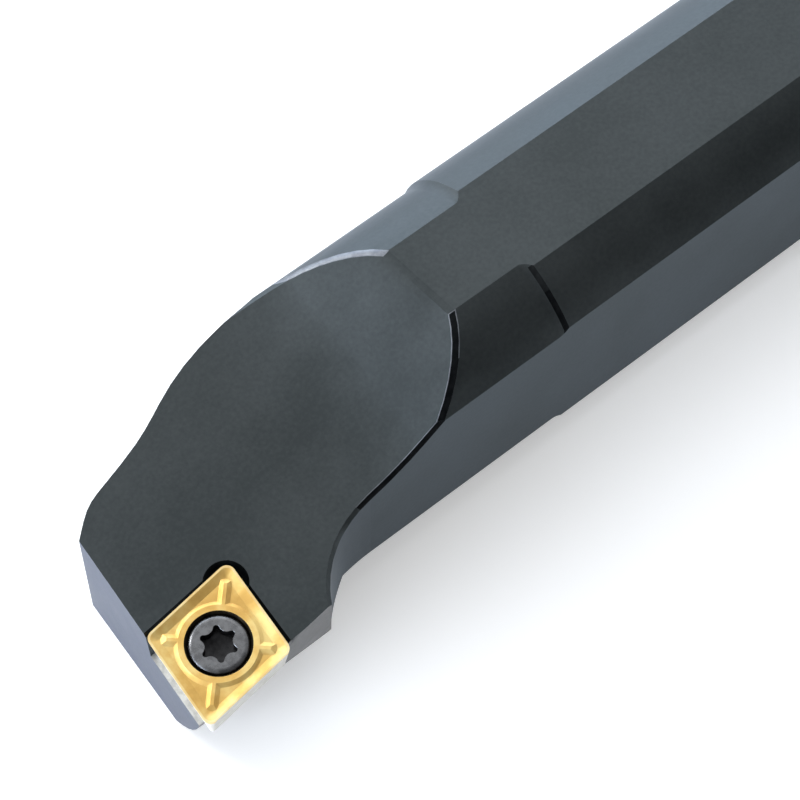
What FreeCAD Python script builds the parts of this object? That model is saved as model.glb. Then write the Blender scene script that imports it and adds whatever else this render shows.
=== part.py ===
import FreeCAD, Part

import math
import os

# Right-hand boring bar: a steel bar with flats, a tilted pocket, a rhombic insert and its clamp screw.
# X runs along the bar from the rear end to the cutting head, +Y is the cutting side and +Z is up.
# The origin is the centre of the rear end face. Lengths are in millimetres and angles in degrees.
# A length called "back" is measured from the sharp nose of the insert toward the rear end.

# Bar: shank and neck
overall_length = 250.0          # rear end face to the sharp nose of the insert
shank_diameter = 25.0
height_over_flats = 22.9        # top flat to bottom flat
side_flat_distance = 10.0       # bar axis to the flat on the cutting side
rear_chamfer = 1.2
neck_diameter = 24.35
neck_back = 45.5                # nose back to the shoulder where the shank starts
shoulder_angle = 30.0           # slope of that shoulder from the bar axis
shoulder_foot_radius = 2.0

# Bar: turned head on the cutting side
functional_width = 17.0         # bar axis to the nose
nose_overhang = 1.7             # nose stands this far outside the head's round
head_back = 15.6                # nose back to where the head's rim starts to fall to the neck
head_fall_angle = 40.0          # slope of that fall from the bar axis
head_rim_radius = 1.5
side_flat_back = 23.2           # nose back to where the side flat starts to curve outward
side_flat_end_radius = 9.5

# Bar: sloped top of the head and the ramp up to the top flat
axial_tilt = 5.0                # rake face falls this much toward the front
radial_tilt = 6.0               # and this much toward the cutting side
head_drop = 0.4                 # insert's top stands this far above the head
ramp_back = 36.75               # nose back to the upper end of the ramp on the top flat
ramp_angle = 34.5
ramp_side_tilt = 2.0
ramp_blend_radius = 22.0
ramp_edge_break = 0.35          # chamfer round the edge of the ramp

# Bar: front and side faces of the head
front_setback = 0.1             # behind the insert's front edge
front_relief = 2.1
side_setback = 0.7              # inside the insert's side edge
side_relief = 7.5

# Bar: relief on the side opposite the cutting side, seen from above
back_flat_distance = 10.85      # bar axis to the long flat of the relief
back_flat_rear = 34.0           # nose back to the rear end of that flat
back_flat_front = 19.6          # nose back to its front end
back_waist_back = 11.3
back_waist_distance = 6.9
back_cheek_back = 4.25
back_cheek_distance = 5.1
back_corner_angle = 40.0        # slope of the rounded front corner
back_runout_radius = 60.0
back_shoulder_radius = 24.0
back_waist_radius = 26.0
back_cheek_radius = 6.0

# Insert
inscribed_circle = 9.525
nose_angle = 80.0
nose_radius = 0.8
entering_angle = 95.0           # side cutting edge to the direction of feed
insert_thickness = 3.97
flank_clearance = 7.0
hole_diameter = 4.4
hole_mouth_diameter = 5.9
hole_cone_half_angle = 30.0
land_width = 0.2                # flat rim along the cutting edges
groove_depth = 0.3
groove_run = 0.75               # width of the slope from the rim to the groove floor
island_margin = 0.5             # width of the raised ring around the hole
island_drop = 0.03
island_slope_run = 0.4
ridge_top_width = 0.3
ridge_foot_width = 1.2
ridge_tip_slope = 0.55

# Pocket
pocket_clearance = 0.03         # between the insert's foot and the pocket walls
pocket_wall_draft = 9.5         # opens the gap toward the top
corner_relief_radius = 2.0
corner_relief_inset = 1.85      # from the insert's sharp inner corner to the relief's centre
corner_relief_depth = 0.3       # below the seat

# Clamp screw
thread_diameter = 3.5
thread_clearance = 0.03         # radial gap between the screw and the hole in the bar
screw_head_diameter = 5.2
screw_head_rim = 0.25
screw_head_crown = 0.2
screw_seat_gap = 0.02
screw_neck_diameter = 3.0
screw_reach = 6.3               # length of the screw below the seat
screw_tip_chamfer = 0.4
screw_neck_below_seat = 0.3
socket_width = 3.35             # across the six lobes
socket_waist = 2.4              # across the six hollows
socket_lobe_radius = 0.27
socket_depth = 1.2
socket_floor_depth = 0.35

# Reach of the cutting tools past the bar
beyond = 20.0


def vec(x, y, z=0.0):
    return FreeCAD.Vector(x, y, z)


def tan(angle):
    return math.tan(math.radians(angle))


def sin(angle):
    return math.sin(math.radians(angle))


def cos(angle):
    return math.cos(math.radians(angle))


def from_nose(back):
    """X of a place that lies this far behind the nose."""
    return overall_length - back


def rounded_outline(corners, place):
    """Closed wire through corners of (u, v, radius), each corner rounded by a tangent arc."""
    count = len(corners)
    points = [vec(u, v) for u, v, radius in corners]
    starts = []
    ends = []
    mids = []
    for i in range(count):
        here = points[i]
        radius = corners[i][2]
        to_last = (points[i - 1] - here).normalize()
        to_next = (points[(i + 1) % count] - here).normalize()
        half = to_last.getAngle(to_next) / 2
        if radius <= 0:
            starts.append(here)
            ends.append(here)
            mids.append(None)
            continue
        reach = radius / math.tan(half)
        middle = (to_last + to_next).normalize()
        starts.append(here + to_last * reach)
        ends.append(here + to_next * reach)
        mids.append(here + middle * (radius / math.sin(half) - radius))
    edges = []
    for i in range(count):
        if mids[i] is not None:
            edges.append(Part.Arc(place(starts[i]), place(mids[i]), place(ends[i])).toShape())
        following = (i + 1) % count
        if (starts[following] - ends[i]).Length > 1e-6:
            edges.append(Part.LineSegment(place(ends[i]), place(starts[following])).toShape())
    return Part.Wire(edges)


def turned(corners, centre=vec(0, 0), axis=vec(1, 0)):
    """Solid turned from an outline of (along the axis, radius, corner radius)."""
    across = vec(0, 1) if abs(axis.y) < 0.5 else vec(1, 0)
    wire = rounded_outline(corners, lambda p: centre + axis * p.x + across * p.y)
    return Part.Face(wire).revolve(centre, axis, 360)


def upright(corners, low, high):
    """Solid with an outline in the XY plane, from height low to height high."""
    face = Part.Face(rounded_outline(corners, lambda p: vec(p.x, p.y, low)))
    return face.extrude(vec(0, 0, high - low))


def above_plane(point, turn, reach):
    """Block that fills all space near point above a plane whose normal is turned from +Z."""
    block = Part.makeBox(2 * reach, 2 * reach, reach, vec(-reach, -reach, 0))
    block.Placement = FreeCAD.Placement(point, turn)
    return block


# Rake frame: x forward, y to the cutting side, z square to the rake face, origin at the sharp nose
tilt_forward = FreeCAD.Rotation(vec(0, 1, 0), axial_tilt)
tilt_sideways = FreeCAD.Rotation(vec(1, 0, 0), -radial_tilt)
rake_turn = tilt_forward.multiply(tilt_sideways)
nose = vec(overall_length, functional_width, 0)
rake_frame = FreeCAD.Placement(nose, rake_turn)


def into_bar(shape):
    """Copy of a shape drawn in the rake frame, moved to its place on the bar."""
    moved = shape.copy()
    moved.Placement = rake_frame.multiply(moved.Placement)
    return moved


# Directions of the insert in the rake frame, seen from above
side_edge_angle = 180 + entering_angle - 90
front_edge_angle = side_edge_angle + nose_angle
side_edge = vec(cos(side_edge_angle), sin(side_edge_angle))
front_edge = vec(cos(front_edge_angle), sin(front_edge_angle))
side_out = vec(side_edge.y, -side_edge.x)
front_out = vec(-front_edge.y, front_edge.x)
inner_radius = inscribed_circle / 2
edge_length = inscribed_circle / sin(nose_angle)
insert_centre = (side_edge + front_edge) * (edge_length / 2)
to_nose = (insert_centre * -1).normalize()
to_side_corner = vec(-to_nose.y, to_nose.x)


def crossing(side_distance, front_distance):
    """Where a line along the side edge and a line along the front edge meet, by distance from centre."""
    turn = side_out.x * front_out.y - side_out.y * front_out.x
    x = (side_distance * front_out.y - front_distance * side_out.y) / turn
    y = (front_distance * side_out.x - side_distance * front_out.x) / turn
    return insert_centre + vec(x, y)


def rhombus(inset, z):
    """Outline of the insert, moved inward by inset, at height z of the rake frame."""
    reach = inner_radius - inset
    radius = max(nose_radius - inset, nose_radius / 5)
    corners = [crossing(reach, reach), crossing(reach, -reach), crossing(-reach, -reach), crossing(-reach, reach)]
    return rounded_outline([(c.x, c.y, radius) for c in corners], lambda p: vec(p.x, p.y, z))


# Bar

shank_radius = shank_diameter / 2
neck_radius = neck_diameter / 2
head_radius = functional_width - nose_overhang
half_height = height_over_flats / 2


def turned_blank():
    """Shank, shoulder, neck and head turned about the bar axis."""
    shoulder = from_nose(neck_back)
    shoulder_run = (shank_radius - neck_radius) / tan(shoulder_angle)
    head_rim = from_nose(head_back)
    fall_run = (head_radius - neck_radius) / tan(head_fall_angle)
    corners = [
        (0, 0, 0),
        (0, shank_radius - rear_chamfer, 0),
        (rear_chamfer, shank_radius, 0),
        (shoulder, shank_radius, 0),
        (shoulder + shoulder_run, neck_radius, shoulder_foot_radius),
        (head_rim - fall_run, neck_radius, 0),
        (head_rim, head_radius, head_rim_radius),
        (overall_length + beyond, head_radius, 0),
        (overall_length + beyond, 0, 0),
    ]
    return turned(corners)


def flat_cuts():
    """Top flat, bottom flat, and the side flat that curves outward into the head."""
    wide = shank_radius + head_radius
    length = overall_length + 2 * beyond
    top = Part.makeBox(length + beyond, 2 * wide, wide, vec(-beyond, -wide, half_height))
    bottom = Part.makeBox(length + beyond, 2 * wide, wide, vec(-beyond, -wide, -half_height - wide))
    run_end = from_nose(side_flat_back) + side_flat_end_radius
    outline = [
        (-beyond, side_flat_distance, 0),
        (run_end, side_flat_distance, side_flat_end_radius),
        (run_end, side_flat_distance + beyond, 0),
        (-beyond, side_flat_distance + beyond, 0),
    ]
    return [top, bottom, upright(outline, -wide, wide)]


# Ramp: a plane through the front end of the top flat
ramp_top = vec(from_nose(ramp_back), 0, half_height)
ramp_turn = FreeCAD.Rotation(vec(0, 1, 0), ramp_angle).multiply(FreeCAD.Rotation(vec(1, 0, 0), -ramp_side_tilt))
ramp_normal = ramp_turn.multVec(vec(0, 0, 1))


def head_top_cut():
    """All that lies above both the sloped head top and the ramp, with the crease between them rounded."""
    reach = 3 * head_radius + ramp_back
    head_top = into_bar(above_plane(vec(0, 0, -head_drop), FreeCAD.Rotation(), reach))
    ramp = above_plane(ramp_top, ramp_turn, reach)
    tool = head_top.common(ramp)
    head_normal = rake_turn.multVec(vec(0, 0, 1))
    crease_run = head_normal.cross(ramp_normal).normalize()
    for edge in tool.Edges:
        along = edge.tangentAt(edge.FirstParameter)
        near_head = abs((edge.valueAt(edge.FirstParameter) - head_top.Placement.Base).dot(head_normal)) < 1e-3
        if abs(along.dot(crease_run)) > 0.9999 and near_head:
            if abs((edge.valueAt(edge.FirstParameter) - ramp_top).dot(ramp_normal)) < 1e-3:
                return tool.makeFillet(ramp_blend_radius, [edge])
    return tool


def back_relief_cut():
    """Curved clearance on the side opposite the cutting side."""
    wide = shank_radius + head_radius
    front_run = back_cheek_back + beyond
    outline = [
        (from_nose(neck_back), -shank_radius, 0),
        (from_nose(back_flat_rear), -back_flat_distance, back_runout_radius),
        (from_nose(back_flat_front), -back_flat_distance, back_shoulder_radius),
        (from_nose(back_waist_back), -back_waist_distance, back_waist_radius),
        (from_nose(back_cheek_back), -back_cheek_distance, back_cheek_radius),
        (from_nose(-beyond), -back_cheek_distance + front_run * tan(back_corner_angle), 0),
        (from_nose(-beyond), -wide - beyond, 0),
        (from_nose(neck_back), -wide - beyond, 0),
    ]
    return upright(outline, -wide, wide)


def face_cuts():
    """Front face and cutting-side face of the head, set behind the insert's edges and relieved."""
    reach = 3 * head_radius
    cuts = []
    for out, setback, relief in ((front_out, front_setback, front_relief), (side_out, side_setback, side_relief)):
        outward = rake_turn.multVec(vec(out.x, out.y, 0))
        flat_out = vec(outward.x, outward.y).normalize()
        normal = flat_out * cos(relief) - vec(0, 0, sin(relief))
        turn = FreeCAD.Rotation(vec(0, 0, 1), normal)
        cuts.append(above_plane(nose - flat_out * setback, turn, reach))
    return cuts


def pocket_cut():
    """Seat for the insert: two drafted walls, a relieved inner corner and the threaded hole."""
    above = insert_thickness
    far = inscribed_circle + head_radius

    def section(z):
        rise = z + insert_thickness
        foot = inner_radius - insert_thickness * tan(flank_clearance) + pocket_clearance
        wall = -(foot + rise * tan(pocket_wall_draft))
        corners = [crossing(wall, wall), crossing(wall, far), crossing(far, far), crossing(far, wall)]
        return Part.makePolygon([vec(c.x, c.y, z) for c in corners] + [vec(corners[0].x, corners[0].y, z)])

    room = Part.makeLoft([section(-insert_thickness), section(above)], True, True)
    inner_corner = crossing(-inner_radius, -inner_radius)
    relief_centre = inner_corner + to_nose * corner_relief_inset
    relief_low = vec(relief_centre.x, relief_centre.y, -insert_thickness - corner_relief_depth)
    relief_height = insert_thickness + corner_relief_depth + above
    relief = Part.makeCylinder(corner_relief_radius, relief_height, relief_low)
    hole_radius = thread_diameter / 2 + thread_clearance
    hole_low = vec(insert_centre.x, insert_centre.y, -height_over_flats)
    hole = Part.makeCylinder(hole_radius, height_over_flats, hole_low)
    return into_bar(room.fuse([relief, hole]))


def with_broken_ramp_edge(body):
    """The body with a chamfer where the ramp meets the top flat, the neck and the side flat."""
    picked = []
    for edge in body.Edges:
        middle = edge.valueAt((edge.FirstParameter + edge.LastParameter) / 2)
        on_ramp = abs((middle - ramp_top).dot(ramp_normal)) < 1e-3
        on_top = abs(middle.z - half_height) < 1e-3
        on_side = abs(middle.y - side_flat_distance) < 1e-3
        on_neck = abs(math.hypot(middle.y, middle.z) - neck_radius) < 1e-3
        if on_ramp and (on_top or on_side or on_neck):
            picked.append(edge)
    return body.makeChamfer(ramp_edge_break, picked)


def make_bar():
    body = turned_blank()
    body = body.cut(flat_cuts())
    body = with_broken_ramp_edge(body.cut(head_top_cut()))
    body = body.cut(back_relief_cut())
    body = body.cut(face_cuts())
    body = body.cut(pocket_cut())
    return body


# Insert

def ridge(direction, end):
    """Raised rib of the chip breaker, from the ring around the hole toward a corner."""
    across = vec(-direction.y, direction.x)
    low = -groove_depth - island_drop

    def section(z, width, reach):
        half = across * (width / 2)
        inner = insert_centre
        outer = insert_centre + direction * reach
        points = [inner - half, outer - half, outer + half, inner + half, inner - half]
        return Part.makePolygon([vec(p.x, p.y, z) for p in points])

    foot = section(low, ridge_foot_width, end)
    crown = section(-island_drop, ridge_top_width, end - ridge_tip_slope)
    return Part.makeLoft([foot, crown], True, True)


def chip_breaker_cut():
    """Groove inside the rim, around a raised ring with one rib toward each corner."""
    lift = land_width * groove_depth / groove_run / 2
    rise_inset = land_width - lift * groove_run / groove_depth
    groove = Part.makeLoft([rhombus(rise_inset, lift), rhombus(land_width + groove_run, -groove_depth)], True, True)
    ring_radius = hole_mouth_diameter / 2 + island_margin
    height = groove_depth
    low = vec(insert_centre.x, insert_centre.y, -groove_depth - island_drop)
    island = Part.makeCone(ring_radius + island_slope_run, ring_radius, height, low)
    floor_radius = inner_radius - land_width - groove_run
    acute = floor_radius / sin(nose_angle / 2)
    obtuse = floor_radius / cos(nose_angle / 2)
    ribs = [
        ridge(to_nose, acute),
        ridge(to_nose * -1, acute),
        ridge(to_side_corner, obtuse),
        ridge(to_side_corner * -1, obtuse),
    ]
    return groove.cut(island.fuse(ribs))


def make_insert():
    body = Part.makeLoft([rhombus(insert_thickness * tan(flank_clearance), -insert_thickness), rhombus(0, 0)], True, True)
    body = body.cut(chip_breaker_cut())
    cone_depth = (hole_mouth_diameter - hole_diameter) / 2 / tan(hole_cone_half_angle)
    corners = [
        (-2 * insert_thickness, 0, 0),
        (-2 * insert_thickness, hole_diameter / 2, 0),
        (-cone_depth, hole_diameter / 2, cone_depth / 2),
        (insert_thickness, hole_mouth_diameter / 2 + (insert_thickness) * tan(hole_cone_half_angle), 0),
        (insert_thickness, 0, 0),
    ]
    hole = turned(corners, vec(insert_centre.x, insert_centre.y), vec(0, 0, 1))
    return into_bar(body.cut(hole))


# Clamp screw

def six_lobe(z):
    """Outline of the socket: six lobes joined by six hollows, all tangent."""
    lobe_centre = socket_width / 2 - socket_lobe_radius
    waist = socket_waist / 2
    root = math.sqrt(3)
    above = lobe_centre ** 2 + waist ** 2 - root * lobe_centre * waist - socket_lobe_radius ** 2
    hollow_radius = above / (2 * socket_lobe_radius + root * lobe_centre - 2 * waist)
    hollow_centre = waist + hollow_radius
    edges = []

    def at(radius, angle):
        return insert_centre + vec(radius * cos(angle), radius * sin(angle), z)

    for i in range(6):
        angle = 60 * i
        lobe = at(lobe_centre, angle)
        before = at(hollow_centre, angle - 30)
        after = at(hollow_centre, angle + 30)
        first = lobe + (before - lobe).normalize() * socket_lobe_radius
        last = lobe + (after - lobe).normalize() * socket_lobe_radius
        edges.append(Part.Arc(first, at(socket_width / 2, angle), last).toShape())
        next_lobe = at(lobe_centre, angle + 60)
        next_first = next_lobe + (after - next_lobe).normalize() * socket_lobe_radius
        edges.append(Part.Arc(last, at(waist, angle + 30), next_first).toShape())
    return Part.Wire(edges)


def make_screw():
    head_radius_screw = screw_head_diameter / 2
    slope = tan(hole_cone_half_angle)
    touch = -(hole_mouth_diameter / 2 - head_radius_screw) / slope
    cone_top = touch + screw_seat_gap / sin(hole_cone_half_angle)
    rim_top = cone_top + screw_head_rim
    crown_top = rim_top + screw_head_crown
    neck_top = cone_top - (head_radius_screw - screw_neck_diameter / 2) / slope
    thread_top = -insert_thickness - screw_neck_below_seat
    tip = -insert_thickness - screw_reach
    thread_radius = thread_diameter / 2
    corners = [
        (tip, 0, 0),
        (tip, thread_radius - screw_tip_chamfer, 0),
        (tip + screw_tip_chamfer, thread_radius, 0),
        (thread_top, thread_radius, 0),
        (thread_top + thread_radius - screw_neck_diameter / 2, screw_neck_diameter / 2, 0),
        (neck_top, screw_neck_diameter / 2, 0),
        (cone_top, head_radius_screw, 0),
        (rim_top, head_radius_screw, 0),
        (crown_top, head_radius_screw - screw_head_crown, 0),
        (crown_top, 0, 0),
    ]
    body = turned(corners, vec(insert_centre.x, insert_centre.y), vec(0, 0, 1))
    socket_low = crown_top - socket_depth
    socket = Part.Face(six_lobe(socket_low)).extrude(vec(0, 0, socket_depth + screw_head_crown))
    floor_low = vec(insert_centre.x, insert_centre.y, socket_low - socket_floor_depth)
    floor = Part.makeCone(0, socket_waist / 2, socket_floor_depth, floor_low)
    return into_bar(body.cut([socket, floor]))


os.makedirs("parts", exist_ok=True)

nodes = {
    "bar": make_bar(),
    "insert": make_insert(),
    "clamp_screw": make_screw(),
}
for name, shape in nodes.items():
    solid = shape.Solids[0] if len(shape.Solids) == 1 else shape
    solid.exportStep("parts/" + name + ".step")
    print(name, "solids", len(shape.Solids), "valid", shape.isValid(), "volume", round(shape.Volume, 1))
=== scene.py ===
"""Looks of a right-hand boring bar: blackened steel bar, gold coated insert and its clamp screw."""

import logging
import math
from dataclasses import dataclass, field
from enum import Enum, IntEnum
from typing import Callable

import bmesh
import bpy
from mathutils import Matrix, Vector


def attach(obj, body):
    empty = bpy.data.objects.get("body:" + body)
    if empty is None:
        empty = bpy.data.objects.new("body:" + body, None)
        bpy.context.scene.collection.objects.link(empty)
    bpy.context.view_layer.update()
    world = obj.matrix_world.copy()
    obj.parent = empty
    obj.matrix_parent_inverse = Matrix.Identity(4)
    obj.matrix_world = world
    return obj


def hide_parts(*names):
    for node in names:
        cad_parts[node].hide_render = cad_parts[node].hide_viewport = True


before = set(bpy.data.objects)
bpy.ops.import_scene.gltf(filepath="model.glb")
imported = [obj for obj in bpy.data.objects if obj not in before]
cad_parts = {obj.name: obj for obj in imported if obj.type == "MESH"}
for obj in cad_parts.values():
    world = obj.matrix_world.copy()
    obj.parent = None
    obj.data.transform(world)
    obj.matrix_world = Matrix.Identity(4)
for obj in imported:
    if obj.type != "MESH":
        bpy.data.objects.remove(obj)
LOG = logging.getLogger("boring_bar")
MM = 0.001
Range = tuple[float, float]
Triple = tuple[float, float, float]
Colour = Triple

LENGTH = 250.0 * MM
NOSE_SIDE = 17.0 * MM
EDGE_LENGTH = 9.525 * MM / math.sin(math.radians(80.0))
EDGE_ANGLES = (math.radians(185.0), math.radians(265.0))
INSERT_CENTRE = Vector([EDGE_LENGTH / 2 * sum(turn(a) for a in EDGE_ANGLES) for turn in (math.cos, math.sin)])
AXIAL_TILT = 5.0
RADIAL_TILT = 6.0
HALF_HEIGHT = 11.45 * MM
FLAT_NORMALS = (Vector((0.0, 0.0, 1.0)), Vector((0.0, 0.0, -1.0)), Vector((0.0, 1.0, 0.0)))
EDGE_MATERIAL = 1
WHITE = (1.0, 1.0, 1.0)

RAMP_BREAK = 0.13 * MM
POCKET_BREAK = 0.28 * MM
SCREW_RIM_BREAK = 0.24 * MM
SCREW_RIM_STEPS = 6
INSERT_EDGE = 0.035 * MM
SCREW_EDGE = 0.04 * MM


class Slot(Enum):
    """Material slots of the record."""

    BLACK_STEEL = "black_steel"
    GOLD = "gold_coating"
    SCREW = "screw_steel"


class Node(Enum):
    """CAD nodes that the pieces are dressed on."""

    BAR = "bar"
    INSERT = "insert"
    SCREW = "clamp_screw"


class BarFinish(IntEnum):
    """Places of the bar's finishes in its list of materials, where 1 is the broken edges."""

    PLAIN = 0
    # Bare steel on worn edges, and on the ramp's edge also a painted highlight.
    WORN_AND_HIGHLIT_EDGE = 1
    # Near-black painted shade line along edges where shade falls.
    PAINTED_SHADE_EDGE = 2
    SEAT = 3
    RELIEF = 4
    # Lighter, bluer front of the head: painted light.
    FRONT = 5
    # Softer painted shade on the upper part of the shoulder.
    PAINTED_SOFT_SHADE_EDGE = 6


class InsertFinish(IntEnum):
    """Places of the insert's finishes in its list of materials, where 1 is the broken edges."""

    COATING = 0
    # Whitish flanks: painted highlight.
    PAINTED_LIT_FLANK = 2
    # Near-black mouth of the hole: painted shade.
    PAINTED_HOLE_SHADE = 3
    # Paler gold on the level rim: painted highlight.
    PAINTED_HIGHLIGHT_RIM = 4


class ScrewFinish(IntEnum):
    """Places of the screw's finishes in its list of materials, where 1 is the broken edges."""

    STEEL = 0
    # Near-black inside the socket: painted shade.
    SOCKET = 2


def tilted(about_y: float, about_x: float) -> Matrix:
    """Turn about X, then about Y.

    Args:
        about_y: Angle about Y in degrees.
        about_x: Angle about X in degrees.

    Returns:
        The turn.
    """
    return Matrix.Rotation(math.radians(about_y), 4, "Y") @ Matrix.Rotation(math.radians(about_x), 4, "X")


def rake_matrix() -> Matrix:
    """Place of the rake frame: origin at the sharp nose, z square to the insert's top.

    Returns:
        The matrix from the rake frame to the row frame.
    """
    return Matrix.Translation(Vector((LENGTH, NOSE_SIDE, 0.0))) @ tilted(AXIAL_TILT, -RADIAL_TILT)


def in_rake_frame(place: Vector) -> Vector:
    """Gives a place in the rake frame.

    Args:
        place: The place in the row frame.

    Returns:
        The same place in the rake frame.
    """
    return rake_matrix().inverted() @ place


def square_to_rake(normal: Vector) -> Vector:
    """Gives a direction in the rake frame.

    Args:
        normal: The direction in the row frame.

    Returns:
        The same direction in the rake frame.
    """
    return rake_matrix().to_3x3().transposed() @ normal


class NodeTree:
    """A node tree with short calls to add and join nodes."""

    def __init__(self, tree: bpy.types.NodeTree) -> None:
        """Keeps the tree.

        Args:
            tree: The node tree to work on.
        """
        self.tree = tree

    def add(self, kind: str, **values: object) -> bpy.types.Node:
        """Adds a node and sets its properties.

        Args:
            kind: Blender's name of the node type.
            values: Properties to set on it.

        Returns:
            The new node.
        """
        made = self.tree.nodes.new(kind)
        for key, value in values.items():
            setattr(made, key, value)
        return made

    def join(self, start: bpy.types.NodeSocket, end: bpy.types.NodeSocket) -> None:
        """Links two sockets.

        Args:
            start: The output.
            end: The input.
        """
        self.tree.links.new(start, end)

    def maths(self, operation: str, first: bpy.types.NodeSocket,
              second: bpy.types.NodeSocket | float) -> bpy.types.NodeSocket:
        """Joins two values by one operation.

        Args:
            operation: Blender's name of the operation.
            first: The first value.
            second: The second value, a socket or a number.

        Returns:
            The result.
        """
        made = self.add("ShaderNodeMath", operation=operation)
        self.join(first, made.inputs[0])
        if isinstance(second, float):
            made.inputs[1].default_value = second
        else:
            self.join(second, made.inputs[1])
        return made.outputs["Value"]

    def mapped(self, value: bpy.types.NodeSocket, given: Range, wanted: Range,
               **values: object) -> bpy.types.NodeSocket:
        """Maps a value from one range to another.

        Args:
            value: The value.
            given: Its range.
            wanted: The range of the result.
            values: Properties to set on the node.

        Returns:
            The mapped value.
        """
        made = self.add("ShaderNodeMapRange", **values)
        for name, number in zip(("From Min", "From Max", "To Min", "To Max"), (*given, *wanted)):
            made.inputs[name].default_value = number
        self.join(value, made.inputs["Value"])
        return made.outputs["Result"]


class Shader(NodeTree):
    """A Principled material with its textures."""

    noise_middle: Range = (0.3, 0.7)

    def __init__(self, name: str) -> None:
        """Makes an empty Principled material.

        Args:
            name: The material's name.
        """
        self.material = bpy.data.materials.new(name)
        self.material.use_nodes = True
        super().__init__(self.material.node_tree)
        self.surface = self.tree.nodes["Principled BSDF"]
        self.coords = self.add("ShaderNodeTexCoord")

    def noise(self, scale: Triple, detail: float = 4.0, roughness: float = 0.55) -> bpy.types.NodeSocket:
        """Noise in object space, stretched by its three scales.

        Args:
            scale: Waves per metre along X, Y and Z.
            detail: Octaves of the noise.
            roughness: How strong the fine octaves are.

        Returns:
            The noise value, from 0 to 1.
        """
        mapping = self.add("ShaderNodeMapping")
        mapping.inputs["Scale"].default_value = scale
        self.join(self.coords.outputs["Object"], mapping.inputs["Vector"])
        noise = self.add("ShaderNodeTexNoise")
        noise.inputs["Scale"].default_value = 1.0
        noise.inputs["Detail"].default_value = detail
        noise.inputs["Roughness"].default_value = roughness
        self.join(mapping.outputs["Vector"], noise.inputs["Vector"])
        return noise.outputs["Fac"]

    def ramp(self, value: bpy.types.NodeSocket, stops: list[tuple[float, Colour]]) -> bpy.types.NodeSocket:
        """Colour ramp.

        Args:
            value: What drives it.
            stops: Places from 0 to 1 with their colours.

        Returns:
            The colour socket.
        """
        made = self.add("ShaderNodeValToRGB")
        elements = made.color_ramp.elements
        while len(elements) < len(stops):
            elements.new(0.5)
        for element, (place, colour) in zip(elements, stops):
            element.position = place
            element.color = (*colour, 1.0)
        self.join(value, made.inputs["Fac"])
        return made.outputs["Color"]

    def spread(self, value: bpy.types.NodeSocket, wanted: Range) -> bpy.types.NodeSocket:
        """Maps the middle of a noise to a range.

        Args:
            value: The noise.
            wanted: The range of the result.

        Returns:
            The mapped value.
        """
        return self.mapped(value, self.noise_middle, wanted)

    def bump(self, value: bpy.types.NodeSocket, depth: float,
             under: bpy.types.NodeSocket | None = None) -> bpy.types.NodeSocket:
        """Bump from a height value.

        Args:
            value: The height, from 0 to 1.
            depth: Height of the bump in metres.
            under: Normal that the bump goes on top of.

        Returns:
            The bumped normal.
        """
        made = self.add("ShaderNodeBump")
        made.inputs["Strength"].default_value = 1.0
        made.inputs["Distance"].default_value = depth
        self.join(value, made.inputs["Height"])
        if under is not None:
            self.join(under, made.inputs["Normal"])
        return made.outputs["Normal"]


@dataclass(frozen=True)
class BlackenedSteel:
    """Black oxide on ground steel: faint grinding lines, cloudy tone and a fine grain."""

    name: str = "blackened steel"
    dark: Colour = (0.043, 0.050, 0.052)
    light: Colour = (0.061, 0.069, 0.071)
    grazing_tint: Colour = (0.84, 0.91, 1.0)
    roughness: Range = (0.36, 0.5)
    metallic: float = 0.9
    cloud_scale: float = 90.0
    grain_scale: float = 2600.0
    line_scale: Triple = (45.0, 3800.0, 3800.0)
    grain_depth: float = 0.0000045
    line_depth: float = 0.000002
    grain_share: float = 0.35
    cloud_detail: float = 5.0
    fine_detail: float = 2.0
    stops: Range = (0.36, 0.64)

    def make(self) -> bpy.types.Material:
        """Builds the material.

        Returns:
            The material.
        """
        s = Shader(self.name)
        cloud = s.noise((self.cloud_scale,) * 3, self.cloud_detail)
        grain = s.noise((self.grain_scale,) * 3, self.fine_detail)
        lines = s.noise(self.line_scale, self.fine_detail)
        mixed = s.add("ShaderNodeMix", data_type="FLOAT")
        mixed.inputs["Factor"].default_value = self.grain_share
        s.join(cloud, mixed.inputs["A"])
        s.join(grain, mixed.inputs["B"])
        colour = s.ramp(mixed.outputs["Result"], list(zip(self.stops, (self.dark, self.light))))
        s.join(colour, s.surface.inputs["Base Color"])
        s.surface.inputs["Metallic"].default_value = self.metallic
        s.surface.inputs["Specular Tint"].default_value = (*self.grazing_tint, 1.0)
        s.join(s.spread(cloud, self.roughness), s.surface.inputs["Roughness"])
        normal = s.bump(lines, self.line_depth)
        s.join(s.bump(grain, self.grain_depth, normal), s.surface.inputs["Normal"])
        return s.material


@dataclass(frozen=True)
class GoldCoating:
    """Gold coloured coating on a sintered insert: fine grain, tone that drifts a little."""

    name: str = "gold coating"
    burnt: Colour = (0.67, 0.395, 0.10)
    deep: Colour = (0.76, 0.475, 0.13)
    pale: Colour = (0.88, 0.66, 0.25)
    roughness: Range = (0.34, 0.46)
    metallic: float = 0.62
    tone_scale: float = 400.0
    grain_scale: float = 9000.0
    grain_depth: float = 0.0000022
    grain_detail: float = 2.0
    stops: Triple = (0.33, 0.45, 0.64)

    def make(self) -> bpy.types.Material:
        """Builds the material.

        Returns:
            The material.
        """
        s = Shader(self.name)
        tone = s.noise((self.tone_scale,) * 3)
        grain = s.noise((self.grain_scale,) * 3, self.grain_detail)
        stops = list(zip(self.stops, (self.burnt, self.deep, self.pale)))
        s.join(s.ramp(tone, stops), s.surface.inputs["Base Color"])
        s.surface.inputs["Metallic"].default_value = self.metallic
        s.join(s.spread(tone, self.roughness), s.surface.inputs["Roughness"])
        s.join(s.bump(grain, self.grain_depth), s.surface.inputs["Normal"])
        return s.material


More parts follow.
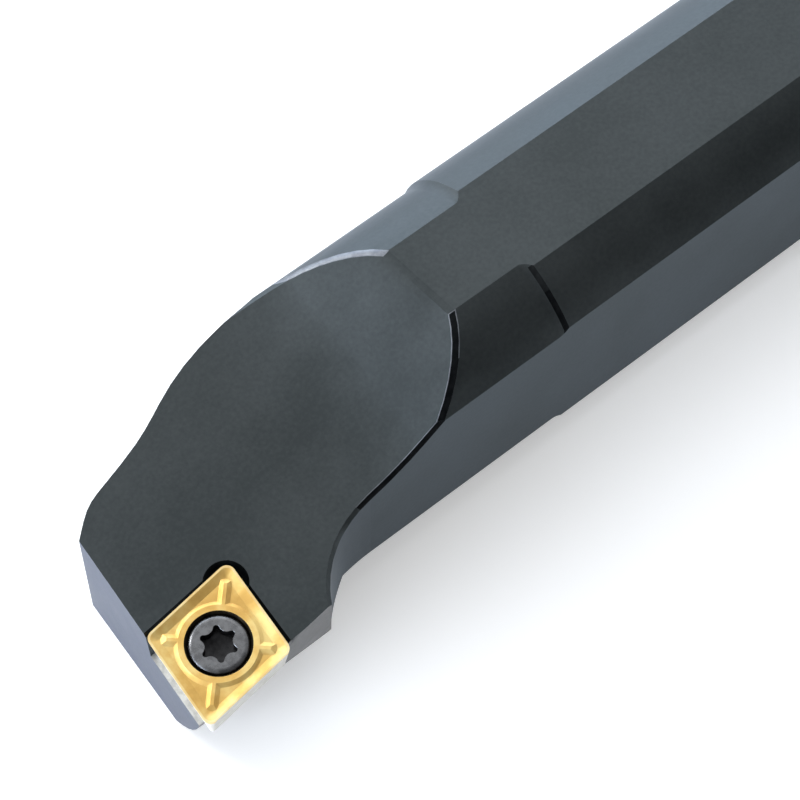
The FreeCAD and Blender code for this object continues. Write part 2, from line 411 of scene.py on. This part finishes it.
@dataclass(frozen=True)
class MetalFinish:
    """Metal from two colours and a mottle: bare steel on the screw, on the seat, on the ground side and where
    the black has worn off the edges, and also the painted shade in the hole, in the socket and along edges,
    and the painted highlight on the insert's flanks.
    """

    name: str
    dark: Colour
    light: Colour
    roughness: Range = (0.26, 0.4)
    mottle_scale: float = 1500.0
    grain_depth: float = 0.000003
    metallic: float = 0.95
    mottle_roughness: float = 0.65
    stops: Range = (0.38, 0.62)

    def make(self) -> bpy.types.Material:
        """Builds the material.

        Returns:
            The material.
        """
        s = Shader(self.name)
        mottle = s.noise((self.mottle_scale,) * 3, roughness=self.mottle_roughness)
        colour = s.ramp(mottle, list(zip(self.stops, (self.dark, self.light))))
        s.join(colour, s.surface.inputs["Base Color"])
        s.surface.inputs["Metallic"].default_value = self.metallic
        s.join(s.spread(mottle, self.roughness), s.surface.inputs["Roughness"])
        s.join(s.bump(mottle, self.grain_depth), s.surface.inputs["Normal"])
        return s.material


BLACK = BlackenedSteel()
GOLD = GoldCoating()
# A paler copy of the gold for the insert's level rim and its broken edges: painted highlight.
PAINTED_HIGHLIGHT_GOLD = GoldCoating("gold with painted highlight", (0.80, 0.56, 0.22), (0.84, 0.61, 0.26), (0.93, 0.77, 0.41))
# Bare steel for worn edges; on the lit left side of the ramp's edge and in the strip beside its painted shade
# line it is a painted highlight.
WORN_AND_HIGHLIT = MetalFinish("worn and highlit edge", (0.14, 0.15, 0.17), (0.20, 0.215, 0.235), (0.38, 0.46))
# Near-black for edges where shade falls (the ramp's right edge, the side flat, the lower shoulder, the relief
# and the pocket rim): painted shade.
PAINTED_SHADE_LINE = MetalFinish("painted shade on edges", (0.005, 0.006, 0.007), (0.009, 0.010, 0.011), (0.4, 0.5))
SCREW = MetalFinish("screw steel", (0.14, 0.142, 0.148), (0.205, 0.208, 0.215), (0.22, 0.34))
# Near-black brown for the cone at the mouth of the insert's hole, where shade falls: painted shade.
PAINTED_HOLE_SHADE = MetalFinish("hole mouth with painted shade", (0.018, 0.014, 0.010), (0.05, 0.038, 0.022), (0.4, 0.5))
# Near-black for the inside of the screw's socket, where shade falls: painted shade.
SOCKET = MetalFinish("socket", (0.02, 0.02, 0.021), (0.045, 0.045, 0.047), (0.35, 0.5))
# Dark grey for the upper part of the shoulder, where the shade is less deep: softer painted shade.
PAINTED_SOFT_SHADE = MetalFinish("softer painted shade", (0.016, 0.018, 0.019), (0.024, 0.026, 0.027), (0.4, 0.5))
RELIEF = MetalFinish("ground side", (0.10, 0.103, 0.107), (0.17, 0.172, 0.175), (0.38, 0.5))
# A lighter, bluer copy of the blackened steel for the front of the head, where the front lamp's light falls:
# painted light.
FRONT = BlackenedSteel("front with painted light", (0.074, 0.086, 0.120), (0.10, 0.114, 0.154), (0.95, 0.97, 1.0))
SEAT = MetalFinish("bare seat", (0.42, 0.41, 0.39), (0.60, 0.59, 0.56), (0.35, 0.5))
# Whitish, barely metallic finish for the insert's flanks, standing for the light they catch: painted
# highlight.
PAINTED_LIT_FLANK = MetalFinish("flank with painted highlight", (0.71, 0.68, 0.61), (0.82, 0.80, 0.74), (0.4, 0.5), metallic=0.25)


@dataclass(frozen=True)
class WideBreak:
    """A broader break along picked edges, rounded when it has several steps.

    A clamped one stays narrow beside short edges.
    """

    picks: Callable[[bmesh.types.BMEdge], bool]
    width: float
    steps: int = 1
    clamped: bool = True


@dataclass
class DressedNode:
    """A piece made from a CAD node's own surface, with its sharp edges broken.

    Each edge gets a narrow face of its own, which takes the second material.
    """

    node: Node
    slot: Slot
    finish: bpy.types.Material
    edge_finish: bpy.types.Material
    extra_finishes: tuple[bpy.types.Material, ...]
    pick_finish: Callable[[Vector, Vector], int]
    pick_edge_finish: Callable[[Vector, Vector], int] | None = None
    wide_breaks: tuple[WideBreak, ...] = ()
    ground_flats: tuple[Vector, ...] = ()
    edge_break: float = 0.09 * MM
    smooth_angle: float = math.radians(18.5)
    same_plane: float = math.radians(0.3)
    same_facet: float = math.radians(0.4)
    slight_angle: float = math.radians(0.5)
    same_normal: float = 0.9999
    weld: float = 0.002 * MM

    def build(self) -> bpy.types.Object:
        """Builds the piece in place of its node.

        Returns:
            The new object.
        """
        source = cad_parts[self.node.value]
        mesh = source.data.copy()
        mesh.name = self.node.value + "_dressed"
        mesh.transform(source.matrix_world)
        mesh.materials.clear()
        for finish in (self.finish, self.edge_finish, *self.extra_finishes):
            mesh.materials.append(finish)
        work = bmesh.new()
        work.from_mesh(mesh)
        self.shape(work)
        work.to_mesh(mesh)
        work.free()
        self.mark_sharp(mesh)
        made = bpy.data.objects.new(mesh.name, mesh)
        bpy.context.scene.collection.objects.link(made)
        weighted = made.modifiers.new("even shading", "WEIGHTED_NORMAL")
        weighted.keep_sharp = True
        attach(made, "root")
        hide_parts(self.node.value)
        LOG.info("%s: %d faces", made.name, len(mesh.polygons))
        return made

    def shape(self, work: bmesh.types.BMesh) -> None:
        """Gives the faces their finishes and breaks the edges.

        The edge faces share one material until the flat faces are told, and get their finishes last.

        Args:
            work: The mesh.
        """
        bmesh.ops.remove_doubles(work, verts=work.verts, dist=self.weld)
        bmesh.ops.dissolve_limit(work, angle_limit=self.same_facet, verts=work.verts, edges=work.edges)
        work.normal_update()
        for face in work.faces:
            face.material_index = self.pick_finish(face.calc_center_median(), face.normal)
        for wide in self.wide_breaks:
            picked = [e for e in work.edges if wide.picks(e)]
            self.break_edges(work, picked, wide.width, wide.steps, wide.clamped)
        self.break_edges(work, self.sharp(work), self.edge_break)
        bmesh.ops.dissolve_limit(work, angle_limit=self.same_plane, verts=work.verts, edges=work.edges,
                                 delimit={"MATERIAL"})
        work.normal_update()
        for face in work.faces:
            face.smooth = not self.is_flat(face)
        for face in work.faces:
            if face.material_index == EDGE_MATERIAL and self.pick_edge_finish is not None:
                face.material_index = self.pick_edge_finish(face.calc_center_median(), face.normal)
        bmesh.ops.triangulate(work, faces=[f for f in work.faces if len(f.verts) > 4])

    def mark_sharp(self, mesh: bpy.types.Mesh) -> None:
        """Marks sharp edges, also all round each flat face, so that it is shaded as one plane.

        Args:
            mesh: The finished mesh.
        """
        flat_faces = [p for p in mesh.polygons if not p.use_smooth]
        flat_edges = {mesh.loops[corner].edge_index for p in flat_faces for corner in p.loop_indices}
        mesh.set_sharp_from_angle(angle=self.smooth_angle)
        for index in flat_edges:
            mesh.edges[index].use_edge_sharp = True

    def is_flat(self, face: bmesh.types.BMFace) -> bool:
        """Tells a flat face from a facet of a curved one.

        Args:
            face: A face of the mesh, with the edge faces already cut.

        Returns:
            True on a ground flat, and where every neighbour is an edge face, in the same plane or
            across a sharp edge.
        """
        if any(face.normal.dot(flat) > self.same_normal for flat in self.ground_flats):
            return True
        for edge in face.edges:
            angle = edge.calc_face_angle(0.0) if len(edge.link_faces) == 2 else 0.0
            others = [f for f in edge.link_faces if f is not face and f.material_index != EDGE_MATERIAL]
            if others and self.slight_angle < angle < self.smooth_angle:
                return False
        return face.material_index != EDGE_MATERIAL

    def sharp(self, work: bmesh.types.BMesh) -> list[bmesh.types.BMEdge]:
        """Finds the edges between faces that meet at an angle.

        Args:
            work: The mesh.

        Returns:
            Edges sharper than the limit.
        """
        work.normal_update()
        paired = [e for e in work.edges if len(e.link_faces) == 2]
        uncut = [e for e in paired if all(f.material_index != EDGE_MATERIAL for f in e.link_faces)]
        return [e for e in uncut if e.calc_face_angle(0.0) > self.smooth_angle]

    def break_edges(self, work: bmesh.types.BMesh, edges: list[bmesh.types.BMEdge], width: float,
                    steps: int = 1, clamped: bool = True) -> None:
        """Cuts a narrow face along edges.

        Args:
            work: The mesh.
            edges: The edges.
            width: Distance of the cut from the edge.
            steps: Faces across the cut.
            clamped: Keeps the cut narrow beside short edges.
        """
        bmesh.ops.bevel(work, geom=edges, offset=width, offset_type="OFFSET", segments=steps, profile=0.5,
                        affect="EDGES", clamp_overlap=clamped, loop_slide=True, material=EDGE_MATERIAL)


@dataclass
class BarFaces:
    """Tells the broken edges, the seat, the ground side of the head and its front from the rest of the bar;
    the front gets painted light, and some broken edges get painted shade or a painted highlight.

    The ramp is the slope from the top flat to the head, and the shoulder is where the shank starts.
    Values named facing are limits for the part of a face's normal that points along one axis.
    """

    tiny: float = 0.01 * MM
    top_flat: float = HALF_HEIGHT
    side_flat: float = 10.0 * MM
    neck_radius: float = 12.175 * MM
    ramp_start: float = LENGTH - 36.75 * MM
    ramp_end: float = LENGTH - 21.0 * MM
    ramp_angle: float = 34.5
    ramp_side_tilt: float = 2.0
    ramp_margin: float = 1.2 * MM
    edge_reach: float = 0.34 * MM
    # Along the ramp's broken edge: painted shade where Y is above the first value, painted highlight where it
    # is below the second.
    painted_shade_from_y: float = 4.3 * MM
    highlight_to_y: float = -4.0 * MM
    shoulder: Range = (LENGTH - 45.6 * MM, LENGTH - 44.95 * MM)
    shoulder_margin: float = 0.2 * MM
    shoulder_side: float = 5.0 * MM
    shoulder_radius: float = 12.25 * MM
    # Below this height the shoulder gets the near-black painted shade, above it the softer one.
    shoulder_deep_shade_z: float = 9.9 * MM
    seat_depth: float = 3.97 * MM
    seat_place: tuple[float, float] = (LENGTH - 14.0 * MM, 3.0 * MM)
    relief_place: tuple[float, float] = (LENGTH - 14.5 * MM, 12.0 * MM)
    relief_edge_place: tuple[float, float] = (LENGTH - 20.0 * MM, 11.5 * MM)
    front_x: float = LENGTH - 4.0 * MM
    head_drop: float = 0.4 * MM
    pocket_reach: float = 9.6 * MM
    pocket_reach_down: float = 0.3 * MM
    pocket_front: float = -0.3 * MM
    rim_length: float = 1.5 * MM
    rim_angle: float = math.radians(45.0)
    relief_facing: float = 0.9
    relief_edge_facing: float = 0.2
    front_facing: float = 0.95
    side_edge_facing: Range = (0.1, 0.95)
    ramp_facing: float = 0.8
    ramp_edge_facing: float = 0.3
    shoulder_edge_facing: float = 0.05

    def __call__(self, centre: Vector, normal: Vector) -> int:
        """Picks the finish of a face.

        Args:
            centre: Middle of the face.
            normal: Its normal.

        Returns:
            The finish.
        """
        on_seat = abs(in_rake_frame(centre).z + self.seat_depth) < 2 * self.tiny
        if on_seat and centre.x > self.seat_place[0] and centre.y > self.seat_place[1]:
            return BarFinish.SEAT
        # The shoulder's faces get painted shade.
        if self.on_shoulder(centre):
            return self.shoulder_finish(centre)
        on_relief = centre.x > self.relief_place[0] and centre.y > self.relief_place[1]
        if on_relief and normal.y > self.relief_facing:
            return BarFinish.RELIEF
        # The front of the head gets the lighter, bluer copy of the blackened steel: painted light.
        if normal.x > self.front_facing and centre.x > self.front_x:
            return BarFinish.FRONT
        if self.ramp_start - self.ramp_margin <= centre.x <= self.ramp_end and centre.z >= 0.0:
            return self.by_ramp(centre, normal)
        return BarFinish.PLAIN

    def by_ramp(self, centre: Vector, normal: Vector) -> BarFinish:
        """Picks the finish of a face beside the ramp, with a painted shade line and a painted highlight on
        its broken edges.

        Args:
            centre: Middle of the face.
            normal: Its normal.

        Returns:
            The finish, plain for the ramp itself and for the bar's outer surface.
        """
        on_round = centre.yz.length > self.neck_radius - 2 * self.tiny
        on_top = abs(centre.z - self.top_flat) < self.tiny
        on_side = abs(centre.y - self.side_flat) < self.tiny
        if on_round or on_top or on_side:
            return BarFinish.PLAIN
        # The edge faces along the side flat get the painted shade line.
        low, high = self.side_edge_facing
        if self.side_flat - self.edge_reach < centre.y < self.side_flat - self.tiny and low < normal.y < high:
            return BarFinish.PAINTED_SHADE_EDGE
        ramp_normal = tilted(self.ramp_angle, -self.ramp_side_tilt).to_3x3() @ Vector((0.0, 0.0, 1.0))
        below = (Vector((self.ramp_start, 0.0, self.top_flat)) - centre).dot(ramp_normal)
        # On the ramp's broken edge: a painted highlight on the lit left side, a painted shade line on the
        # right.
        if self.tiny < below < self.edge_reach and normal.z > self.ramp_edge_facing:
            if centre.y < self.highlight_to_y:
                return BarFinish.WORN_AND_HIGHLIT_EDGE
            if centre.y > self.painted_shade_from_y:
                return BarFinish.PAINTED_SHADE_EDGE
        return BarFinish.PLAIN

    def borders_painted_shade(self, edge: bmesh.types.BMEdge) -> bool:
        """Tells if an edge lies between the ramp and the painted shade line on its broken edge.

        Args:
            edge: An edge of the mesh.

        Returns:
            True for such an edge.
        """
        plain = [f.normal.z for f in edge.link_faces if f.material_index == BarFinish.PLAIN]
        dark = [f for f in edge.link_faces if f.material_index == BarFinish.PAINTED_SHADE_EDGE]
        return len(plain) == len(dark) == 1 and plain[0] > self.ramp_facing

    def by_pocket(self, place: Vector) -> bool:
        """Tells if a place is at the upper rim of the pocket.

        Args:
            place: The place.

        Returns:
            True there.
        """
        local = in_rake_frame(place)
        near = (local.xy - INSERT_CENTRE).length < self.pocket_reach
        behind = max(local.x, local.y) < self.pocket_front
        return near and behind and abs(local.z + self.head_drop) < self.pocket_reach_down

    def pocket_rim(self, edge: bmesh.types.BMEdge) -> bool:
        """Tells if an edge is a straight part of the pocket's upper rim.

        Args:
            edge: An edge of the mesh.

        Returns:
            True for such an edge.
        """
        if len(edge.link_faces) != 2 or edge.calc_length() < self.rim_length:
            return False
        return edge.calc_face_angle(0.0) >= self.rim_angle and all(self.by_pocket(v.co) for v in edge.verts)

    def on_shoulder(self, centre: Vector) -> bool:
        """Tells if a place is on the cutting side of the shoulder between shank and neck.

        Args:
            centre: The place.

        Returns:
            True there.
        """
        along = self.shoulder[0] < centre.x < self.shoulder[1]
        return along and centre.y > self.shoulder_side and centre.yz.length > self.shoulder_radius

    def shoulder_finish(self, centre: Vector) -> BarFinish:
        """Picks the painted shade on the shoulder: near-black at its lower end, softer above.

        Args:
            centre: Middle of the face.

        Returns:
            The finish.
        """
        return BarFinish.PAINTED_SOFT_SHADE_EDGE if centre.z >= self.shoulder_deep_shade_z else BarFinish.PAINTED_SHADE_EDGE

    def edge(self, centre: Vector, normal: Vector) -> int:
        """Picks the finish of a narrow edge face.

        Args:
            centre: Middle of the face.
            normal: Its normal.

        Returns:
            The finish: painted shade on the shoulder, beside the relief and round the pocket, worn elsewhere,
                which on the ramp's edge is also a painted highlight.
        """
        low, high = self.shoulder
        near = low - self.shoulder_margin < centre.x < high + self.shoulder_margin
        if near and centre.y > self.shoulder_side and abs(normal.x) > self.shoulder_edge_facing:
            return self.shoulder_finish(centre)
        beside_relief = centre.x > self.relief_edge_place[0] and centre.y > self.relief_edge_place[1]
        if beside_relief and normal.z > self.relief_edge_facing or self.by_pocket(centre):
            return BarFinish.PAINTED_SHADE_EDGE
        return BarFinish.WORN_AND_HIGHLIT_EDGE


@dataclass
class InsertFaces:
    """Tells the flanks, the hole's mouth and the flat rim of the insert from the rest of its top: the flanks
    and the rim get a painted highlight, the mouth painted shade.

    Heights are in the rake frame, and slopes are the heights of normals in it.
    """

    mouth_radius: float = 2.93 * MM
    mouth_top: float = -0.15 * MM
    rim_depth: float = -0.015 * MM
    level: float = 0.99
    flank_top: float = -0.5 * MM
    flank_slopes: Range = (-0.16, -0.08)

    def __call__(self, centre: Vector, normal: Vector) -> int:
        """Picks the finish of a face.

        Args:
            centre: Middle of the face.
            normal: Its normal.

        Returns:
            The finish.
        """
        local, slope = in_rake_frame(centre), square_to_rake(normal).z
        # The cone at the hole's mouth gets painted shade.
        if (local.xy - INSERT_CENTRE).length < self.mouth_radius and local.z < self.mouth_top:
            return InsertFinish.PAINTED_HOLE_SHADE
        # The level rim gets the paler gold: painted highlight.
        if local.z > self.rim_depth and slope > self.level:
            return InsertFinish.PAINTED_HIGHLIGHT_RIM
        # The flanks get the whitish finish: painted highlight.
        on_flank = self.flank_slopes[0] < slope < self.flank_slopes[1] and local.z < self.flank_top
        return InsertFinish.PAINTED_LIT_FLANK if on_flank else InsertFinish.COATING


@dataclass
class ScrewFaces:
    """Tells the inside of the screw's socket, which gets painted shade, and the rim of its head from the rest
    of the screw.
    """

    socket_radius: float = 1.72 * MM
    socket_heights: Range = (-2.6 * MM, -0.2 * MM)
    floor_slope: float = 0.5
    rim_inner: float = 2.3 * MM
    rim_depth: float = -0.25 * MM
    rim_angle: float = math.radians(30.0)

    def __call__(self, centre: Vector, normal: Vector) -> int:
        """Picks the finish of a face.

        Args:
            centre: Middle of the face.
            normal: Its normal.

        Returns:
            The finish.
        """
        local, square = in_rake_frame(centre), square_to_rake(normal)
        outward = local.xy - INSERT_CENTRE
        inside = outward.length < self.socket_radius
        between = self.socket_heights[0] < local.z < self.socket_heights[1]
        facing_in = outward.dot(square.xy) < 0.0 or square.z > self.floor_slope
        # Faces inside the socket get painted shade.
        return ScrewFinish.SOCKET if inside and between and facing_in else ScrewFinish.STEEL

    def crown_rim(self, edge: bmesh.types.BMEdge) -> bool:
        """Tells if an edge goes round the top of the screw's head.

        Args:
            edge: An edge of the mesh.

        Returns:
            True for such an edge.
        """
        if len(edge.link_faces) != 2 or edge.calc_face_angle(0.0) < self.rim_angle:
            return False
        places = [in_rake_frame(v.co) for v in edge.verts]
        return all(self.rim_inner < (p.xy - INSERT_CENTRE).length and p.z > self.rim_depth for p in places)


@dataclass
class HoleThread:
    """Thread in the hole under the head, below the end of the screw.

    Low down the hole is open at the side of the head, and the thread stops just inside the head's round.
    """

    finish: bpy.types.Material
    centre: Vector = field(default_factory=lambda: INSERT_CENTRE.to_3d())
    wall: float = 1.8 * MM
    crest: float = 1.52 * MM
    pitch: float = 0.6 * MM
    foot_share: float = 0.48
    land_share: float = 0.08
    top: float = -10.5 * MM
    bottom: float = -11.6 * MM
    head_radius: float = 15.2 * MM
    steps: int = 48

    def spot(self, radius: float, angle: float, height: float) -> Vector:
        """Gives a place round the axis of the hole.

        Args:
            radius: Distance from the axis.
            angle: Angle about it.
            height: Height in the rake frame.

        Returns:
            The place in the row frame.
        """
        offset = Vector((radius * math.cos(angle), radius * math.sin(angle), height))
        return rake_matrix() @ (self.centre + offset)

    def runs(self) -> list[list[tuple[float, float]]]:
        """Finds the stretches of the thread that have metal behind them.

        Returns:
            Angle and height of each section, for each stretch.
        """
        count = int((self.top - self.bottom) / self.pitch * self.steps)
        found: list[list[tuple[float, float]]] = [[]]
        for i in range(count + 1):
            angle, height = math.tau * i / self.steps, self.top - self.pitch * i / self.steps
            if self.spot(self.wall, angle, height).yz.length < self.head_radius:
                found[-1].append((angle, height))
            elif found[-1]:
                found.append([])
        return [run for run in found if len(run) > 1]

    def build(self) -> bpy.types.Object:
        """Builds the thread as a swept ridge.

        Returns:
            The new object.
        """
        verts: list[Vector] = []
        faces: list[tuple[int, ...]] = []
        foot, land = self.pitch * self.foot_share, self.pitch * self.land_share
        profile = [(self.wall, foot), (self.crest, land), (self.crest, -land), (self.wall, -foot)]
        size = len(profile)
        for run in self.runs():
            first = len(verts)
            for angle, height in run:
                verts += [self.spot(radius, angle, height + lift) for radius, lift in profile]
            last = len(verts) - size
            for start in range(first, last, size):
                for k in range(size):
                    a, b = start + k, start + (k + 1) % size
                    faces.append((a, b, b + size, a + size))
            faces.append(tuple(range(first, first + size)))
            faces.append(tuple(reversed(range(last, last + size))))
        mesh = bpy.data.meshes.new("hole_thread")
        mesh.from_pydata(verts, [], faces)
        mesh.materials.append(self.finish)
        made = bpy.data.objects.new("hole_thread", mesh)
        bpy.context.scene.collection.objects.link(made)
        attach(made, "root")
        LOG.info("hole_thread: %d faces", len(mesh.polygons))
        return made


@dataclass(frozen=True)
class Softbox:
    """A square soft light that points at the head of the bar: side in metres, power in watts."""

    name: str
    place: Triple
    size: float
    power: float
    colour: Colour = WHITE


SOFTBOXES = (
    Softbox("left", (-0.05, -0.70, 0.12), 0.8, 5.8, (0.76, 0.86, 1.0)),
    Softbox("rim", (0.55, -0.62, 0.04), 0.22, 0.9),
    Softbox("front", (0.86, -0.06, 0.10), 0.4, 6.8, (0.74, 0.84, 1.0)),
    Softbox("over", (-0.15, -0.42, 0.85), 0.5, 0.55, (1.0, 0.99, 0.97)),
    Softbox("glint", (0.459, -0.437, 0.339), 0.13, 0.75),
)


@dataclass
class Studio:
    """Pale floor, soft lights, the room and the camera."""

    floor_z: float = -HALF_HEIGHT
    floor_size: float = 3.0
    floor_colour: Colour = (0.86, 0.86, 0.86)
    floor_roughness: float = 0.9
    floor_lift: float = 0.4
    lit_place: Vector = field(default_factory=lambda: Vector((LENGTH - 20 * MM, 0.0, 0.0)))
    room_colour: Colour = (0.97, 0.985, 1.0)
    room_grade: Range = (1.2, 0.6)
    dark_side: Triple = (0.0, 0.85, 0.53)
    dark_reach: Range = (0.45, 0.92)
    dark_level: float = 0.25
    camera_place: Vector = field(default_factory=lambda: Vector((308.987, 109.590, 237.618)) * MM)
    camera_right: Vector = field(default_factory=lambda: Vector((-0.767182, 0.641390, 0.007099)))
    camera_up: Vector = field(default_factory=lambda: Vector((-0.549328, -0.662698, 0.508990)))
    camera_back: Vector = field(default_factory=lambda: Vector((0.331166, 0.386588, 0.860743)))
    focal_length: float = 141.18
    sensor_width: float = 36.0
    clip: Range = (0.01, 20.0)

    def build(self) -> None:
        """Builds the floor, the lights, the room and the camera."""
        self.floor()
        for box in SOFTBOXES:
            self.softbox(box)
        self.room()
        self.camera()

    def floor(self) -> None:
        """Builds the floor under the bar, lifted to white for the camera and for reflections."""
        half = self.floor_size / 2
        outline = [(x * half, y * half, self.floor_z) for x, y in ((-1, -1), (1, -1), (1, 1), (-1, 1))]
        mesh = bpy.data.meshes.new("floor")
        mesh.from_pydata(outline, [], [(0, 1, 2, 3)])
        s = Shader("floor")
        s.surface.inputs["Base Color"].default_value = (*self.floor_colour, 1.0)
        s.surface.inputs["Roughness"].default_value = self.floor_roughness
        path = s.add("ShaderNodeLightPath")
        seen = s.maths("MAXIMUM", path.outputs["Is Camera Ray"], path.outputs["Is Glossy Ray"])
        s.surface.inputs["Emission Color"].default_value = (*WHITE, 1.0)
        s.join(s.maths("MULTIPLY", seen, self.floor_lift), s.surface.inputs["Emission Strength"])
        mesh.materials.append(s.material)
        made = bpy.data.objects.new("floor", mesh)
        bpy.context.scene.collection.objects.link(made)

    def softbox(self, box: Softbox) -> None:
        """Adds a square area light.

        Args:
            box: The light.
        """
        light = bpy.data.lights.new(box.name, "AREA")
        light.size = box.size
        light.energy = box.power
        light.color = box.colour
        made = bpy.data.objects.new(box.name, light)
        made.location = box.place
        made.rotation_mode = "QUATERNION"
        made.rotation_quaternion = (self.lit_place - Vector(box.place)).to_track_quat("-Z", "Y")
        bpy.context.scene.collection.objects.link(made)

    def room(self) -> None:
        """Soft room light, white to the camera and graded from side to side for everything else."""
        world = bpy.data.worlds.new("studio")
        world.use_nodes = True
        world.node_tree.nodes.clear()
        t = NodeTree(world.node_tree)
        coords, split = t.add("ShaderNodeTexCoord"), t.add("ShaderNodeSeparateXYZ")
        t.join(coords.outputs["Generated"], split.inputs["Vector"])
        grade = t.mapped(split.outputs["Y"], (-1.0, 1.0), self.room_grade)
        facing = t.add("ShaderNodeVectorMath", operation="DOT_PRODUCT")
        facing.inputs[1].default_value = self.dark_side
        t.join(coords.outputs["Generated"], facing.inputs[0])
        shade = t.mapped(facing.outputs["Value"], self.dark_reach, (1.0, self.dark_level),
                         interpolation_type="SMOOTHSTEP")
        room, backdrop = t.add("ShaderNodeBackground"), t.add("ShaderNodeBackground")
        room.inputs["Color"].default_value = (*self.room_colour, 1.0)
        t.join(t.maths("MULTIPLY", grade, shade), room.inputs["Strength"])
        backdrop.inputs["Color"].default_value = (*WHITE, 1.0)
        mix, out = t.add("ShaderNodeMixShader"), t.add("ShaderNodeOutputWorld")
        t.join(t.add("ShaderNodeLightPath").outputs["Is Camera Ray"], mix.inputs["Fac"])
        t.join(room.outputs["Background"], mix.inputs[1])
        t.join(backdrop.outputs["Background"], mix.inputs[2])
        t.join(mix.outputs["Shader"], out.inputs["Surface"])
        bpy.context.scene.world = world

    def camera(self) -> None:
        """Adds the camera at the viewing angle of the photograph."""
        data = bpy.data.cameras.new("camera")
        data.sensor_width = self.sensor_width
        data.lens = self.focal_length
        data.clip_start, data.clip_end = self.clip
        made = bpy.data.objects.new("camera", data)
        axes = Matrix((self.camera_right, self.camera_up, self.camera_back)).transposed().to_4x4()
        made.matrix_world = Matrix.Translation(self.camera_place) @ axes
        bpy.context.scene.collection.objects.link(made)
        bpy.context.scene.camera = made


def main() -> None:
    """Builds every piece and the studio."""
    logging.basicConfig(level=logging.INFO)
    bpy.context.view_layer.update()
    black, gold, worn, screw = BLACK.make(), GOLD.make(), WORN_AND_HIGHLIT.make(), SCREW.make()
    # The bar's other finishes: painted shade line, bare seat, ground side, painted light on the front, softer
    # painted shade.
    bar_extras = (PAINTED_SHADE_LINE.make(), SEAT.make(), RELIEF.make(), FRONT.make(), PAINTED_SOFT_SHADE.make())
    faces = BarFaces()
    # The break between the ramp and its painted shade line takes the worn finish: a thin painted highlight.
    ramp_break = WideBreak(faces.borders_painted_shade, RAMP_BREAK)
    # A wider break round the pocket's rim, which takes the painted shade line.
    pocket_break = WideBreak(faces.pocket_rim, POCKET_BREAK, clamped=False)
    DressedNode(Node.BAR, Slot.BLACK_STEEL, black, worn, bar_extras, faces, faces.edge,
                (ramp_break, pocket_break), FLAT_NORMALS).build()
    # Paler gold for the insert's rim and broken edges: painted highlight.
    pale = PAINTED_HIGHLIGHT_GOLD.make()
    # The insert's flanks get a painted highlight and its hole's mouth painted shade.
    insert_extras = (PAINTED_LIT_FLANK.make(), PAINTED_HOLE_SHADE.make(), pale)
    DressedNode(Node.INSERT, Slot.GOLD, gold, pale, insert_extras, InsertFaces(),
                edge_break=INSERT_EDGE).build()
    screw_faces = ScrewFaces()
    rim = WideBreak(screw_faces.crown_rim, SCREW_RIM_BREAK, SCREW_RIM_STEPS)
    # The socket's finish is painted shade.
    DressedNode(Node.SCREW, Slot.SCREW, screw, screw, (SOCKET.make(),), screw_faces, wide_breaks=(rim,),
                edge_break=SCREW_EDGE).build()
    HoleThread(black).build()
    Studio().build()
    bpy.context.scene.view_settings.view_transform = "Standard"


if __name__ == "__main__":
    main()
